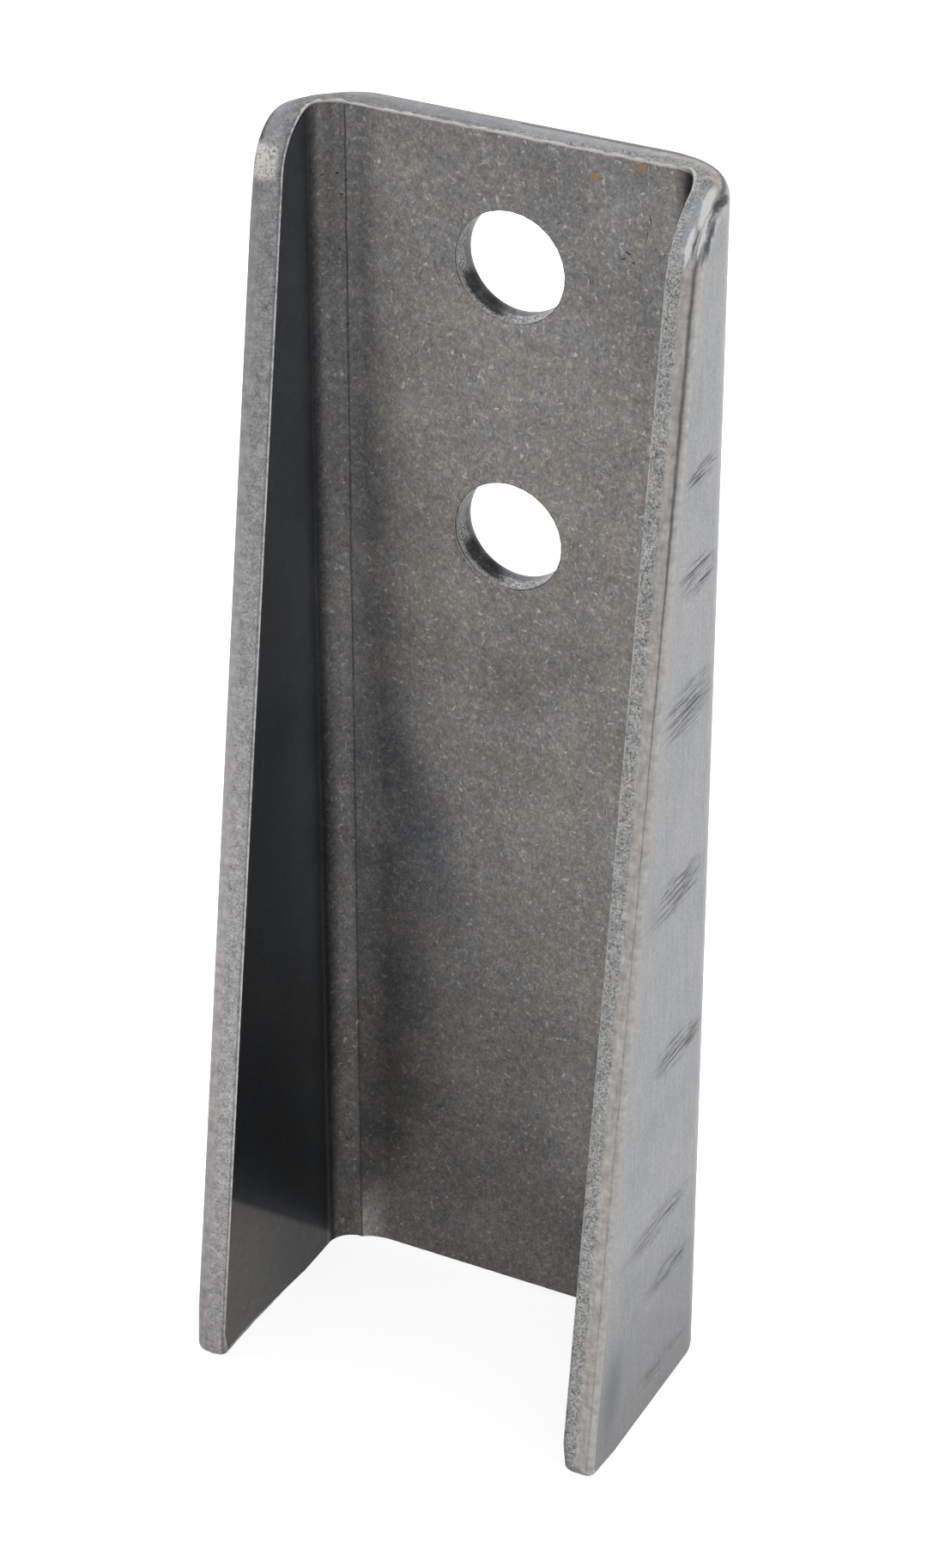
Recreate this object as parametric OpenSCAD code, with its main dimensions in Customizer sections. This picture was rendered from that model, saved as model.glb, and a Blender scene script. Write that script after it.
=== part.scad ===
// Fuel cell bracket: one blanked and punched steel sheet, folded into a channel whose two
// flanges widen from the bolted top to the foot. Sizes are in millimetres, +Z is up.
// The web is the back wall, and the open side of the channel faces -Y.
// The origin is at the middle of the footprint, on the surface that the flanges stand on.

/* [Sheet] */
// Thickness of the sheet, 11 gauge
sheet_t = 3; // [1.5:0.1:5]
// Inner radius of the two folds
bend_r = 2.4; // [1:0.1:6]

/* [Channel] */
// Width over the two flanges
channel_w = 41; // [32:0.5:90]
// Height from the feet of the flanges to the top edge of the web
channel_h = 118.2; // [90:0.2:200]
// Height of the web's lower edge above the feet of the flanges
web_rise = 0.7; // [0.2:0.1:4]
// Radius that eases the web's raised edge down to each fold
relief_end_r = 8; // [5:0.5:12]

/* [Flanges] */
// Depth that the slanted front edges would reach at the foot
foot_depth = 25.8; // [18:0.2:60]
// Depth that the slanted front edges would reach at the top
top_depth = 9; // [8.8:0.2:17]
// Radius of the top corner of the left flange
left_corner_r = 5.5; // [2:0.1:6.8]
// Radius of the top corner of the right flange
right_corner_r = 6.8; // [2:0.1:6.8]
// Radius of the front corner of both feet
foot_corner_r = 1.6; // [1:0.1:4]

/* [Bolt holes] */
// Diameter of the punched holes
hole_d = 10; // [5:0.1:20]
// Distance between the two hole centres
hole_pitch = 25.4; // [22:0.1:50]
// Distance from the top edge down to the centre of the upper hole
hole_from_top = 11.9; // [11:0.1:25]
// Diameter of the torn mouth of each hole on the inner face
breakout_d = 10.3; // [10:0.1:22]
// Depth of the torn mouth, measured from the inner face
breakout_depth = 1.2; // [0.4:0.1:1.4]

/* [Edges] */
// Radius that blanking rolls onto the outer edges
edge_roll = 0.7; // [0.2:0.05:0.9]
// Radius that punching rolls onto the outer edge of each hole
hole_roll = 0.3; // [0.1:0.05:0.6]

/* [Hidden] */
$fn = 96;
// Overlap of cutting shapes past the faces that they cut
past = 1;
// Every rounding arc stands this far proud of the faces that it joins, so that it crosses them
proud = 0.002;
// Edge rollers overlap their neighbours by this length, and the overlapping one is smaller by lap_step
lap = 0.3;
lap_step = 0.02;
steel = [0.45, 0.44, 0.43];
outer_r = bend_r + sheet_t;
half_w = channel_w / 2;
// Half width of the flat part of the web
flat_half = half_w - outer_r;
// Angle of the slanted front edges from the vertical
lean = atan((foot_depth - top_depth) / channel_h);
// Depth that the rounded feet really reach, which sets the middle of the footprint
reach = arc_centre(foot_corner_r, 0, -1)[0] + foot_corner_r;
back_y = reach / 2;
bend_y = back_y - outer_r;
inner_y = back_y - sheet_t;
hole_z = channel_h - hole_from_top;
left_r = beside_web(left_corner_r);
right_r = beside_web(right_corner_r);
// Length over which the web's lower edge comes down, and half the length of its level part
relief_reach = sqrt(pow(relief_end_r, 2) - pow(relief_end_r - web_rise, 2));
relief_run = flat_half - relief_reach;

// Centre of an arc of radius r that touches the slanted front edge and the level at height z;
// side is 1 for a level above the arc and -1 for one below. The first value runs forward.
function arc_centre(r, z, side) =
    let (c_z = z - side * r)
    [foot_depth - c_z * tan(lean) - r / cos(lean), c_z];

// Point where that arc touches the slanted front edge
function arc_touch(r, c) = c + r * [cos(lean), sin(lean)];

// A top corner's radius, kept so small that its arc ends before it reaches the web
function beside_web(r) = min(r, (top_depth - sheet_t) / (1 / cos(lean) - tan(lean)));

// Turns an outline drawn as (forward, up) into a plate that reaches width mm to the -X side
module side_plate(width) {
    translate([0, back_y, 0]) rotate([90, 0, -90]) linear_extrude(width) children();
}

// Filled channel section between the flanges' fronts and level y, with corners of radius r
module filled_section(half, r, y) {
    difference() {
        translate([-half, -back_y - past]) square([2 * half, y + back_y + past]);
        for (side = [0, 1]) mirror([side, 0]) translate([flat_half, bend_y]) difference() {
            square(r + past);
            circle(r + proud);
        }
    }
}

module channel_section() {
    difference() {
        filled_section(half_w, outer_r, back_y);
        filled_section(half_w - sheet_t, bend_r, inner_y);
    }
}

// Side view of the blank before its corners are rounded
module flange_outline() {
    polygon([[-past, 0], [foot_depth, 0], [top_depth, channel_h], [-past, channel_h]]);
}

// What a top corner of radius r loses
module top_corner_waste(r) {
    c = arc_centre(r, channel_h, 1);
    t = arc_touch(r, c);
    difference() {
        polygon([c, t, [foot_depth, t[1]], [foot_depth, channel_h + past], [c[0], channel_h + past]]);
        translate(c) circle(r + proud);
    }
}

// What a foot's front corner of radius r loses
module foot_corner_waste(r) {
    c = arc_centre(r, 0, -1);
    t = arc_touch(r, c);
    difference() {
        polygon([c, [c[0], -past], [foot_depth + past, -past], [foot_depth + past, t[1]], t]);
        translate(c) circle(r + proud);
    }
}

// Relief that lifts the web's lower edge off the surface, eased down at both ends
module web_relief() {
    translate([0, back_y + past, 0]) rotate([90, 0, 0]) linear_extrude(sheet_t + 2 * past) {
        translate([-relief_run, -past]) square([2 * relief_run, web_rise + past]);
        for (x = [-relief_run, relief_run]) translate([x, web_rise - relief_end_r])
            circle(relief_end_r + proud);
    }
}

// Profile of an edge roller of radius r: the sharp corner is at the origin and the metal in +X +Y
module roll_profile(r) {
    difference() {
        translate([-past, -past]) square(r + past);
        translate([r, r]) circle(r + 2 * proud);
    }
}

// Rolls a straight edge that starts at the origin and runs up along Z
module roll_straight(run) {
    translate([0, 0, -lap]) linear_extrude(run + 2 * lap) roll_profile(edge_roll - lap_step);
}

// Rolls an arc of radius r about Z whose metal lies inside it and above
module roll_arc(r, from, to) {
    rotate([0, 0, from]) rotate_extrude(angle = to - from)
        translate([r, 0]) mirror([1, 0]) roll_profile(edge_roll);
}

// Rolls an arc of radius r about Z whose metal lies outside it and above
module roll_hollow(r, from, to) {
    rotate([0, 0, from]) rotate_extrude(angle = to - from)
        translate([r, 0]) roll_profile(edge_roll - 2 * lap_step);
}

// Rolled outer edge of the web's straight part, run mm to each side, at height 0
module rolled_web(run) {
    translate([run, back_y, 0]) rotate([0, -90, 0]) mirror([0, 1, 0]) roll_straight(2 * run);
}

// Rolled outer edges round the two folds, at height 0
module rolled_folds() {
    for (side = [0, 1]) mirror([side, 0, 0]) translate([flat_half, bend_y, 0]) roll_arc(outer_r, 0, 90);
}

// Rolled outer edge of a flange's level edge at height 0, between two depths from the back
module rolled_level(from, to) {
    translate([half_w, back_y - to, 0]) rotate([-90, 0, 0]) rotate([0, 0, 180]) roll_straight(to - from);
}

// Rolled outer edge along the top of the web and round the folds
module rolled_top() {
    translate([0, 0, channel_h]) mirror([0, 0, 1]) {
        rolled_web(flat_half);
        rolled_folds();
    }
}

// Rolled outer edge along the raised lower side of the web, its eased ends and the folds
module rolled_foot() {
    ease = acos(1 - web_rise / relief_end_r);
    lap_angle = lap / relief_end_r * 180 / PI;
    translate([0, 0, web_rise]) rolled_web(relief_run - lap);
    for (side = [0, 1]) mirror([side, 0, 0])
        translate([relief_run, back_y, web_rise - relief_end_r]) rotate([90, 0, 0])
            roll_hollow(relief_end_r, 90 - ease, 90 + lap_angle);
    rolled_folds();
}

// Rolled outer edges of one flange, drawn for the right one: r is its top corner radius
module rolled_flange(r) {
    top_c = arc_centre(r, channel_h, 1);
    foot_c = arc_centre(foot_corner_r, 0, -1);
    top_t = arc_touch(r, top_c);
    foot_t = arc_touch(foot_corner_r, foot_c);
    // Slanted front edge
    translate([half_w, back_y - foot_t[0], foot_t[1]]) rotate([-lean, 0, 0])
        rotate([0, 0, 90]) roll_straight(norm(top_t - foot_t));
    // Top corner, and the level edge behind it where the corner leaves one
    translate([half_w, back_y - top_c[0], top_c[1]]) rotate([90, 0, -90])
        roll_arc(r, lean, 90);
    if (top_c[0] > outer_r + lap)
        translate([0, 0, channel_h]) mirror([0, 0, 1]) rolled_level(outer_r, top_c[0]);
    // Front corner of the foot, and the foot itself
    translate([half_w, back_y - foot_c[0], foot_c[1]]) rotate([90, 0, -90])
        roll_arc(foot_corner_r, -90, lean);
    rolled_level(outer_r, foot_c[0]);
}

// One punched hole, cut from the back face towards the inner face: rolled edge, smooth wall, torn mouth
module bolt_hole() {
    punch_r = hole_d / 2;
    tear = (breakout_d - hole_d) / 2 / breakout_depth;
    rotate([90, 0, 0]) rotate_extrude() difference() {
        polygon([
            [0, -past],
            [punch_r + hole_roll, -past],
            [punch_r + hole_roll, hole_roll],
            [punch_r, hole_roll],
            [punch_r, sheet_t - breakout_depth],
            [punch_r + tear * (breakout_depth + past), sheet_t + past],
            [0, sheet_t + past]
        ]);
        translate([punch_r + hole_roll, hole_roll]) circle(hole_roll + proud);
    }
}

module folded_sheet() {
    difference() {
        intersection() {
            linear_extrude(channel_h) channel_section();
            translate([half_w + past, 0, 0]) side_plate(channel_w + 2 * past) flange_outline();
        }
        translate([half_w + past, 0, 0]) side_plate(half_w + past) top_corner_waste(right_r);
        side_plate(half_w + past) top_corner_waste(left_r);
        translate([half_w + past, 0, 0]) side_plate(channel_w + 2 * past) foot_corner_waste(foot_corner_r);
        web_relief();
    }
}

// Folded sheet with the outer edges of its top and foot rolled
module rolled_ends() {
    difference() {
        folded_sheet();
        rolled_top();
        rolled_foot();
    }
}

// The same with the outer edges of both flanges rolled too
module rolled_sheet() {
    difference() {
        rolled_ends();
        rolled_flange(right_r);
        mirror([1, 0, 0]) rolled_flange(left_r);
    }
}

module bracket() {
    color(steel) difference() {
        rolled_sheet();
        for (k = [0, 1]) translate([0, back_y, hole_z - k * hole_pitch]) bolt_hole();
    }
}

bracket();
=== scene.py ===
import logging
import math
from collections.abc import Callable
from dataclasses import dataclass
from enum import Enum
from functools import partial

import bmesh
import bpy
from bmesh.types import BMEdge, BMesh, BMFace, BMVert
from bpy.types import ColorRamp, ID, Material, Node, NodeSocket, NodeTree, Object, World
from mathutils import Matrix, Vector, noise

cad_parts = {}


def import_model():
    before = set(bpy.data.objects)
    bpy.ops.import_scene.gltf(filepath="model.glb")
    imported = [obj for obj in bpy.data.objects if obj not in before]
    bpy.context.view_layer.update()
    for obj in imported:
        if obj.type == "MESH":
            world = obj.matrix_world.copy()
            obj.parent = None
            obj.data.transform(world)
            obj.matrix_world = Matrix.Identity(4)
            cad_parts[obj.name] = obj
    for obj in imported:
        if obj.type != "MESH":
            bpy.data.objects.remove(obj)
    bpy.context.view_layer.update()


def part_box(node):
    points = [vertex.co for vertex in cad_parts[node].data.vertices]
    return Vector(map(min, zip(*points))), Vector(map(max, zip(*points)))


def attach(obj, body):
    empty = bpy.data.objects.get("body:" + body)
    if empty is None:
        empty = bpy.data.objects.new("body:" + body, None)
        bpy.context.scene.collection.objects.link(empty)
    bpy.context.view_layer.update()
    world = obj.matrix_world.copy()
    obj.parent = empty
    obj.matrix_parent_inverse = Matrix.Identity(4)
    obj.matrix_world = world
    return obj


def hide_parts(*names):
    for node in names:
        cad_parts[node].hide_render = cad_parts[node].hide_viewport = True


# The bracket is one sheet. Its blank is traced in the flat, the cut edges are run round the outline
# and the holes, and it is folded. Sizes are in millimetres until the folded sheet is scaled.

LOG = logging.getLogger("bracket")
MM = 0.001
WHITE = (1.0, 1.0, 1.0, 1.0)
# Settings of a Mix node that blends two colours, and of one that multiplies them
BLEND = {"data_type": "RGBA"}
GAIN = {"data_type": "RGBA", "blend_type": "MULTIPLY"}
# Operations of a Math or a VectorMath node
TIMES = {"operation": "MULTIPLY"}
TIMES_PLUS = {"operation": "MULTIPLY_ADD"}
MINUS = {"operation": "SUBTRACT"}
SIZE = {"operation": "ABSOLUTE"}
# What is kept on each vertex of a cut while its edge is run
LAYERS = ("flat_x", "flat_y", "facing_x", "facing_y", "along", "roll_wide", "roll_deep")

Pair = tuple[float, float]
Triple = tuple[float, float, float]
NodeMaker = Callable[..., Node]


class Zone(Enum):
    """Surfaces of the sheet that each have a finish of their own, numbered as material slots."""

    INNER_FACE = 0
    OUTER_FACE = 1
    SHEARED_EDGE = 2
    PUNCHED_WALL = 3


def linear(colour: str) -> tuple[float, float, float, float]:
    """Turns an sRGB colour, a hash and six hex digits, into linear values and an alpha of 1."""
    parts = [int(colour[i:i + 2], 16) / 255 for i in (1, 3, 5)]
    return (*(p / 12.92 if p <= 0.04045 else ((p + 0.055) / 1.055) ** 2.4 for p in parts), 1.0)


def repeats(size_mm: float) -> float:
    """Texture scale in metres at which one feature of a pattern is size_mm wide."""
    return 1 / (size_mm * MM)


def clamped(value: float) -> float:
    """The value, kept between 0 and 1."""
    return max(0.0, min(1.0, value))


def add(tree: NodeTree, kind: str, inputs: tuple | dict = (), **settings) -> Node:
    """Adds one node with its settings and links.

    Args:
        tree: the node tree that gets the node.
        kind: the node's type name after its leading ShaderNode.
        inputs: what feeds the inputs in use, in their order, or by name. Each is a value, a hex
            colour, an output socket, or a node whose first output in use feeds it.
        **settings: properties of the node. They decide which inputs are in use.

    Returns:
        The new node.
    """
    made = tree.nodes.new("ShaderNode" + kind)
    for name, value in settings.items():
        setattr(made, name, value)
    if isinstance(inputs, dict):
        fed = [(made.inputs[name], value) for name, value in inputs.items()]
    else:
        fed = list(zip((socket for socket in made.inputs if socket.enabled), inputs))
    for socket, value in fed:
        if isinstance(value, Node):
            value = next(output for output in value.outputs if output.enabled)
        elif isinstance(value, str):
            value = linear(value)
        if isinstance(value, NodeSocket):
            tree.links.new(value, socket)
        else:
            socket.default_value = value
    return made


def emptied(owner: Material | World) -> NodeMaker:
    """Empties a material's or a world's node tree and returns the function that adds to it."""
    owner.use_nodes = True
    owner.node_tree.nodes.clear()
    return partial(add, owner.node_tree)


def put(name: str, data: ID) -> Object:
    """Puts a new object with this data into the scene."""
    made = bpy.data.objects.new(name, data)
    bpy.context.scene.collection.objects.link(made)
    return made


def set_stops(ramp: ColorRamp, stops: list[tuple[float, tuple]]) -> None:
    """Gives a new colour ramp its stops, each a position and a linear colour, in order."""
    first, last = ramp.elements
    first.position, first.color = stops[0]
    last.position, last.color = stops[-1]
    for position, colour in stops[1:-1]:
        ramp.elements.new(position).color = colour


@dataclass(frozen=True)
class Mark:
    """A soft-edged patch: where it is and how far it reaches in mm, and its turns in degrees."""

    centre: Triple
    reach: Triple
    turn: Triple = (0.0, 0.0, 0.0)


Marks = tuple[Mark, ...]


def marks(*rows: tuple[float, ...]) -> Marks:
    """Marks from rows of a centre, a reach and, where a mark is turned, its turns."""
    return tuple(Mark(row[:3], row[3:6], row[6:] or Mark.turn) for row in rows)


def patches(node: NodeMaker, place: Node | NodeSocket, group: Marks, soft: float) -> Node:
    """Masks a group of marks.

    Args:
        node: adds a node to the material.
        place: Object coordinates.
        group: the marks.
        soft: share of each patch that its soft rim takes.

    Returns:
        A node that gives 1 inside the marks and 0 outside.
    """
    whole = None
    for mark in group:
        local = node("Mapping", {
            "Vector": place, "Location": [c * MM for c in mark.centre],
            "Rotation": [math.radians(a) for a in mark.turn], "Scale": [r * MM for r in mark.reach],
        }, vector_type="TEXTURE")
        one = node("MapRange", (node("VectorMath", (local,), operation="LENGTH"), 1.0, 1.0 - soft),
                   interpolation_type="SMOOTHSTEP")
        whole = one if whole is None else node("Math", (whole, one), operation="MAXIMUM")
    return whole


class Finish:
    """A finish, whose shader each kind of surface adds for itself."""

    name: str

    def shader(self, node: NodeMaker, place: NodeSocket) -> Node:
        """Adds the finish's nodes, laid out by Object coordinates, and returns the shader."""
        raise NotImplementedError

    def material(self) -> Material:
        """Builds the material and returns it."""
        made = bpy.data.materials.new(self.name)
        node = emptied(made)
        node("OutputMaterial", {"Surface": self.shader(node, node("TexCoord").outputs["Object"])})
        return made


@dataclass(frozen=True)
class MillFace(Finish):
    """Cold-rolled steel as the mill leaves it, on the inner face of the channel.

    A satin grey full of short pale and dark flecks, with warm and bluish clouds. Painted shade and
    painted highlights run along the two folds, with a painted dark crease where the folds start, and
    patches of painted shade and painted reflection lie on the web and the left flange.
    """

    flat_half: float
    fold_y: float
    top: float
    name: str = "cold_rolled_steel_mill_face"
    # Tones of the flecks, by the level of their noise
    levels: tuple[tuple[float, str], ...] = (
        (0.345, "#5c5b5a"), (0.47, "#7b7977"), (0.54, "#878481"), (0.655, "#aba69f"))
    fibre: str = "#d9d4cc"
    warm: str = "#8c847c"
    cool: str = "#7b7d81"
    hue_share: float = 0.3
    # Painted shade laid over the inner face of the flanges, dark and bluish
    flange: str = "#707882"
    # Painted shade of the crease line, also the colour of the nicks
    crease: str = "#1d1e20"
    burr: str = "#c9c5be"
    rust_brown: str = "#a5782f"
    edge_tint: str = "#c4c4c4"
    roughness: float = 0.33
    fold_rough: float = 0.2
    fleck_mm: float = 0.23
    grain_mm: float = 0.9
    cloud_mm: float = 3.0
    tone_mm: float = 11.0
    fibre_mm: float = 0.75
    # How far the coarser noise bends the flecks, and how much of their tone it has
    bend_mm: float = 1.1
    grain_share: float = 0.32
    # Broad patches of painted shade and painted light, and the gain of red, green and blue in their
    # middle
    painted_light_patches: tuple[tuple[Mark, Triple], ...] = (
        (Mark((-8.0, 9.8, 49.0), (4.6, 2.0, 20.0), (0.0, -18.0, 0.0)), (0.63, 0.67, 0.73)),
        (Mark((0.2, 9.8, 65.7), (6.0, 2.0, 9.0)), (0.8, 0.79, 0.79)),
        (Mark((1.0, 9.8, 94.5), (8.0, 2.0, 8.0)), (1.2, 1.2, 1.21)),
        (Mark((7.5, 9.8, 20.0), (6.5, 2.0, 13.0)), (1.24, 1.24, 1.26)),
        (Mark((-13.5, 9.8, 50.0), (3.0, 2.0, 14.0)), (1.2, 1.21, 1.23)),
        (Mark((-17.0, 8.5, 85.0), (4.5, 4.5, 70.0)), (0.95, 0.98, 1.03)),
        (Mark((5.0, 9.8, 110.0), (18.0, 2.0, 18.0)), (0.96, 0.985, 1.02)),
    )
    # Painted shade and light round the left fold: millimetres from its flange side round to the web,
    # and the gain near the top and near the foot
    fold_light_gains: tuple[Triple, ...] = (
        (-0.5, 0.95, 0.58), (0.0, 1.0, 1.05), (0.3, 0.62, 0.5), (0.62, 0.84, 0.33), (0.92, 0.96, 0.6),
        (1.2, 1.15, 0.76), (1.46, 0.95, 0.78), (1.7, 0.72, 0.8), (1.9, 0.62, 0.78), (2.08, 0.58, 0.76),
        (2.22, 0.66, 0.86), (2.36, 0.8, 1.1), (2.5, 1.75, 2.2), (3.0, 1.35, 2.05), (3.4, 1.2, 1.85),
        (3.9, 0.87, 1.65), (4.6, 0.88, 1.35), (5.4, 1.0, 1.0))
    rust: Marks = marks(
        (7.8, 9.8, 116.1, 0.38, 0.6, 0.65, 0.0, 8.0, 0.0), (12.0, 9.8, 117.7, 0.5, 0.6, 0.4),
        (-8.7, 9.8, 24.6, 0.28, 0.6, 0.2), (-17.5, -2.9, 38.3, 0.6, 0.2, 0.35))
    nicks: Marks = marks(
        (-17.0, 8.6, 111.7, 0.25, 0.6, 0.14), (-16.0, 9.4, 111.8, 0.22, 0.6, 0.16),
        (-15.2, 9.7, 111.3, 0.12, 0.6, 0.2), (-15.7, 9.6, 109.9, 0.2, 0.6, 0.12),
        (-16.9, 8.7, 105.3, 0.12, 0.6, 0.2), (-15.9, 9.5, 104.8, 0.14, 0.6, 0.16),
        (-15.3, 9.7, 97.9, 0.12, 0.6, 0.2), (13.05, 9.8, 113.2, 0.06, 0.5, 0.75, 0.0, -9.0, 0.0),
        (12.8, 9.8, 111.9, 0.05, 0.5, 0.5, 0.0, 6.0, 0.0),
        (11.1, 9.8, 109.9, 0.4, 0.5, 0.13, 0.0, 25.0, 0.0),
        (10.7, 9.8, 109.3, 0.3, 0.5, 0.1, 0.0, -20.0, 0.0),
        (11.6, 9.8, 109.1, 0.22, 0.5, 0.12, 0.0, 40.0, 0.0),
        (-16.1, 9.4, 11.9, 0.06, 0.6, 0.7, 0.0, 22.0, 0.0),
        (-16.5, 9.3, 11.7, 0.06, 0.6, 0.6, 0.0, -18.0, 0.0))
    # Slope of the line at which the painted floor reflection on the left flange ends, and its height
    # at the middle of the depth
    reflection_fall: float = 0.8706
    reflection_height: float = 7.85
    # Gain and warm tint of the painted floor reflection
    reflection_gain: float = 3.4
    floor_reflection: str = "#fff1e0"

    def surface(self, node: NodeMaker, place: NodeSocket) -> tuple[Node, ...]:
        """Adds the plain surface, with its patches of painted shade and light, and returns its colour,
        the flecks, their relief and the clouds.
        """
        # Fine noise is bent by a coarser one, so that the flecks run as short fibres
        drift = node("TexNoise", (place, repeats(self.grain_mm), 2.0)).outputs["Color"]
        bent = node("Mapping", {"Vector": node(
            "VectorMath", (drift, [self.bend_mm * MM] * 3, place), **TIMES_PLUS),
            "Scale": (1.0, 1.0, 0.6)})
        flecks = node("TexNoise", (bent, repeats(self.fleck_mm), 2.0, 0.65))
        grain = node("TexNoise", (place, repeats(self.grain_mm), 3.0, 0.6))
        clouds = node("TexNoise", (place, repeats(self.cloud_mm), 4.0, 0.6))
        relief = node("Math", (flecks, 1 - self.grain_share, node(
            "Math", (grain, self.grain_share), **TIMES)), **TIMES_PLUS)
        ramp = node("ValToRGB", (relief,))
        set_stops(ramp.color_ramp, [(at, linear(tone)) for at, tone in self.levels])
        hues = node("Mix", (node("MapRange", (clouds, 0.4, 0.6)), self.cool, self.warm),
                    **BLEND)
        tinted = node("Mix", (self.hue_share, ramp, hues), **BLEND)
        # Slow patches of tone
        slow = node("TexNoise", (place, repeats(self.tone_mm), 5.0, 0.62))
        toned = node("Mix", (1.0, tinted, node("MapRange", (slow, 0.3, 0.7, 0.84, 1.2))), **GAIN)
        # Bright fibres: thin contour lines of one noise, let through by the peaks of another
        contour = node("Math", (node("TexNoise", (place, repeats(self.fibre_mm), 1.0)), 0.5),
                       **MINUS)
        thin = node("MapRange", (node("Math", (contour,), **SIZE), 0.04, 0.01))
        peaks = node("TexNoise", (
            node("Mapping", {"Vector": place, "Location": (0.03, 0.01, 0.02)}), repeats(0.6), 1.0))
        fibres = node("Math", (thin, node("MapRange", (peaks, 0.57, 0.7, 0.0, 0.6))), **TIMES)
        colour = node("Mix", (fibres, toned, self.fibre), **BLEND)
        # Patches of painted shade and painted light
        for mark, tone in self.painted_light_patches:
            colour = node("Mix", (patches(node, place, (mark,), 1.0), colour, (*tone, 1.0)), **GAIN)
        return colour, flecks, relief, clouds

    def shader(self, node: NodeMaker, place: NodeSocket) -> Node:
        """Adds the finish's nodes and returns the shader."""
        x, y, z = node("SeparateXYZ", (place,)).outputs
        plain, flecks, relief, clouds = self.surface(node, place)
        # Painted shade and painted highlights: round each fold the colour is darkened and brightened in
        # turn, from flange to web
        out = node("Math", (x,), **SIZE)
        on_web = node("Math", (node("Math", (self.flat_half * MM, out), **MINUS), 0.0),
                      operation="MAXIMUM")
        first, last = self.fold_light_gains[0][0], self.fold_light_gains[-1][0]
        share = node("MapRange", (node("Math", (on_web, y), operation="ADD"),
                                  (self.fold_y + first) * MM, (self.fold_y + last) * MM))
        near_top, near_foot = node("ValToRGB", (share,)), node("ValToRGB", (share,))
        for ramp, level in ((near_top, 1), (near_foot, 2)):
            set_stops(ramp.color_ramp, [((row[0] - first) / (last - first), (*[row[level]] * 3, 1.0))
                                        for row in self.fold_light_gains])
        upwards = node("MapRange", (z, 30.0 * MM, 105.0 * MM))
        round_fold = node("Mix", (upwards, near_foot, near_top), **BLEND)
        # On the right fold the painted shade lies only in the hollow under the top edge
        hollow = node("MapRange", (
            x, (self.flat_half + 0.1) * MM, (self.flat_half + 1.3) * MM, 1.0, 0.3))
        top_right = node("Math", (node("MapRange", (z, 100.0 * MM, 106.0 * MM)), node(
            "Math", (x, 0.0), operation="GREATER_THAN")), **TIMES)
        folds = node("Mix", (top_right, round_fold, hollow), **BLEND)
        # Painted shade: the flanges' inner face is blended most of the way to the dark bluish flange
        # colour
        on_flange = node("MapRange", (
            y, (self.fold_y + 0.9) * MM, (self.fold_y - 0.2) * MM, 0.0, 0.75))
        plain = node("Mix", (on_flange, plain, self.flange), **BLEND)
        # Painted floor reflection: the left flange is brightened below a line that falls from its front
        # to the fold
        past_line = node("Math", (node("Math", (y, self.reflection_fall, z), **TIMES_PLUS),
                                  self.reflection_height * MM), **MINUS)
        painted_reflection = node("MapRange", (past_line, 0.35 * MM, -0.35 * MM))
        for limit in (node("MapRange", (y, -8.0 * MM, self.fold_y * MM, 1.0, 0.5)),
                      node("Math", (x, 0.0), operation="LESS_THAN")):
            painted_reflection = node("Math", (painted_reflection, limit), **TIMES)
        floor_reflection = node("Mix", (painted_reflection, WHITE, tuple(self.reflection_gain * c for c in linear(self.floor_reflection))), **BLEND)
        painted_light = node("Mix", (on_flange, folds, node("Mix", (1.0, folds, floor_reflection), **GAIN)), **BLEND)
        # On the right flange the painted fold shade and light are laid on only lightly
        lightly = node("Math", (node("MapRange", (x, 13.0 * MM, 13.5 * MM, 0.0, 0.7)), node(
            "Math", (1.0, top_right), **MINUS)), **TIMES)
        colour = node("Mix", (1.0, plain, node("Mix", (lightly, painted_light, WHITE), **BLEND)), **GAIN)
        # Painted shade and painted highlight: a dark crease line where the folds start, wandering a
        # little, with a bright line beside it
        wander = node("TexNoise", (
            node("Mapping", {"Vector": place, "Scale": (0.0, 0.0, 1.0)}), repeats(9.0), 4.0, 0.7))
        off_line = node("Math", (node("Math", (wander, 0.4 * MM, (self.flat_half - 0.1) * MM),
                                      **TIMES_PLUS), x), operation="ADD")
        off_bright = node("Math", (off_line, 0.2 * MM), **MINUS)
        for off, half, strength, tone in ((off_bright, 0.1, 0.2, self.levels[-1][1]),
                                          (off_line, 0.11, 0.5, self.crease)):
            drawn = node("MapRange", (node("Math", (off,), **SIZE),
                                      half * MM, 0.03 * MM, 0.0, strength))
            colour = node("Mix", (drawn, colour, tone), **BLEND)
        # A bright uneven burr along the top, then the rust specks, nicks and pits
        waves = node("TexNoise", (
            node("Mapping", {"Vector": place, "Scale": (1.0, 0.0, 0.0)}), repeats(1.6), 3.0, 0.6))
        burr = node("MapRange", (node("Math", (waves, 0.5 * MM, z), **TIMES_PLUS),
                                 (self.top + 0.02) * MM, (self.top + 0.14) * MM, 0.0, 0.75))
        rusty = node("Math", (patches(node, place, self.rust, 0.6),
                              node("MapRange", (flecks, 0.3, 0.6))),
                     **TIMES)
        nicked = node("Math", (patches(node, place, self.nicks, 0.5), 0.8), **TIMES)
        for share, tone in ((burr, self.burr), (rusty, self.rust_brown), (nicked, self.crease)):
            colour = node("Mix", (share, colour, tone), **BLEND)
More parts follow.
